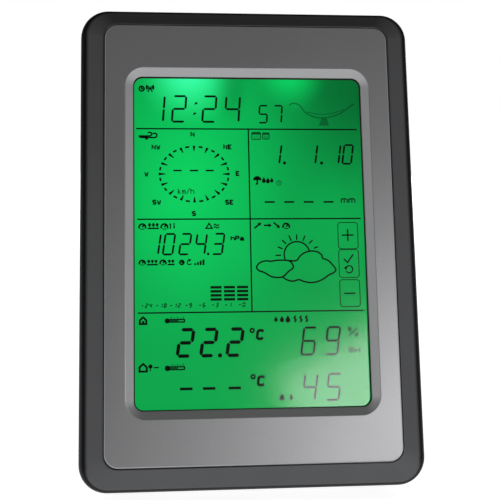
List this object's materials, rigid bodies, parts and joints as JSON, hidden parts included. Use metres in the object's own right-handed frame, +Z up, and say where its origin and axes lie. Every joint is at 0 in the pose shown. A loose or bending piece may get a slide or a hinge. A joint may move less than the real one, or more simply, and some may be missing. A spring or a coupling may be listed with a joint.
{
  "type": "home weather station",
  "caption": "Table-top weather station console: a dark case with a silver front plate and a large green touch display, leaning back on a fold-out stand.",
  "frame": {"origin": "on the table, under the middle of the console's bounding box, with the stand open", "axes": "+Z up, the display faces -Y and leans back 18 degrees, +X to the right as seen from the front"},
  "size_m": [0.148, 0.0904, 0.2069],
  "materials": {
    "case_black": "satin moulded ABS, near-black grey",
    "back_black": "fine spark texture, black",
    "silver_paint": "satin silver-grey metallic paint on plastic",
    "seal_foam": "black foam strip",
    "touch_glass": "clear, glossy",
    "lcd_green": "back-lit green, glossy",
    "lcd_ink": "black liquid-crystal segments and printed graphics",
    "diffuser": "clear green-tinted acrylic",
    "led_green": "clear green resin",
    "white_plastic": "white ABS",
    "board_green": "solder mask over glass laminate",
    "chip_black": "moulded epoxy",
    "steel": "plated steel",
    "copper": "enamelled copper wire",
    "ribbon_amber": "polyimide film",
    "cell_wrap": "printed wrap on an alkaline cell",
    "lead_red": "PVC insulation",
    "lead_black": "PVC insulation",
    "lead_white": "PVC insulation",
    "rubber_black": "soft matt rubber"
  },
  "bodies": {
    "console": {"front_frame": "case_black", "front_plate": "silver_paint", "window_gasket": "seal_foam", "touch_panel": "touch_glass", "lcd_panel": "lcd_green", "light_guide": "diffuser", "backlight_led_left": "led_green", "backlight_led_right": "led_green", "lcd_holder": "white_plastic", "lcd_ribbon": "ribbon_amber", "touch_ribbon": "ribbon_amber", "main_board": "board_green", "processor_chip": "chip_black", "memory_chip": "chip_black", "pressure_sensor": "steel", "quartz_crystal": "steel", "receiver_module": "board_green", "antenna_coil": "copper", "sounder": "chip_black", "air_sensor": "white_plastic", "contact_negative": "steel", "contact_positive": "steel", "contact_link_left": "steel", "contact_link_right": "steel", "battery_spring_1": "steel", "battery_spring_2": "steel", "battery_spring_3": "steel", "battery_1": "cell_wrap", "battery_2": "cell_wrap", "battery_3": "cell_wrap", "rear_cover": "back_black", "foot_left": "rubber_black", "foot_right": "rubber_black", "battery_lead_red": "lead_red", "battery_lead_black": "lead_black", "sounder_lead": "lead_white", "air_sensor_lead": "lead_white", "case_screw_1": "steel", "holder_screw_1": "steel", "board_screw_1": "steel", "case_screw_2": "steel", "holder_screw_2": "steel", "board_screw_2": "steel", "case_screw_3": "steel", "holder_screw_3": "steel", "board_screw_3": "steel", "case_screw_4": "steel", "holder_screw_4": "steel", "board_screw_4": "steel"},
    "stand": {"stand": "back_black", "stand_pad": "rubber_black"},
    "battery_door": {"battery_door": "back_black"}
  },
  "joints": [
    {"name": "stand_hinge", "type": "hinge", "parent": "console", "child": "stand", "pos_m": [0, -0.01631, 0.0192], "axis": [1, 0, 0], "range_deg": [0, 90]},
    {"name": "battery_door_hinge", "type": "hinge", "parent": "console", "child": "battery_door", "pos_m": [0, 0.00701, 0.0806], "axis": [-1, 0, 0], "range_deg": [0, 85]}
  ]
}
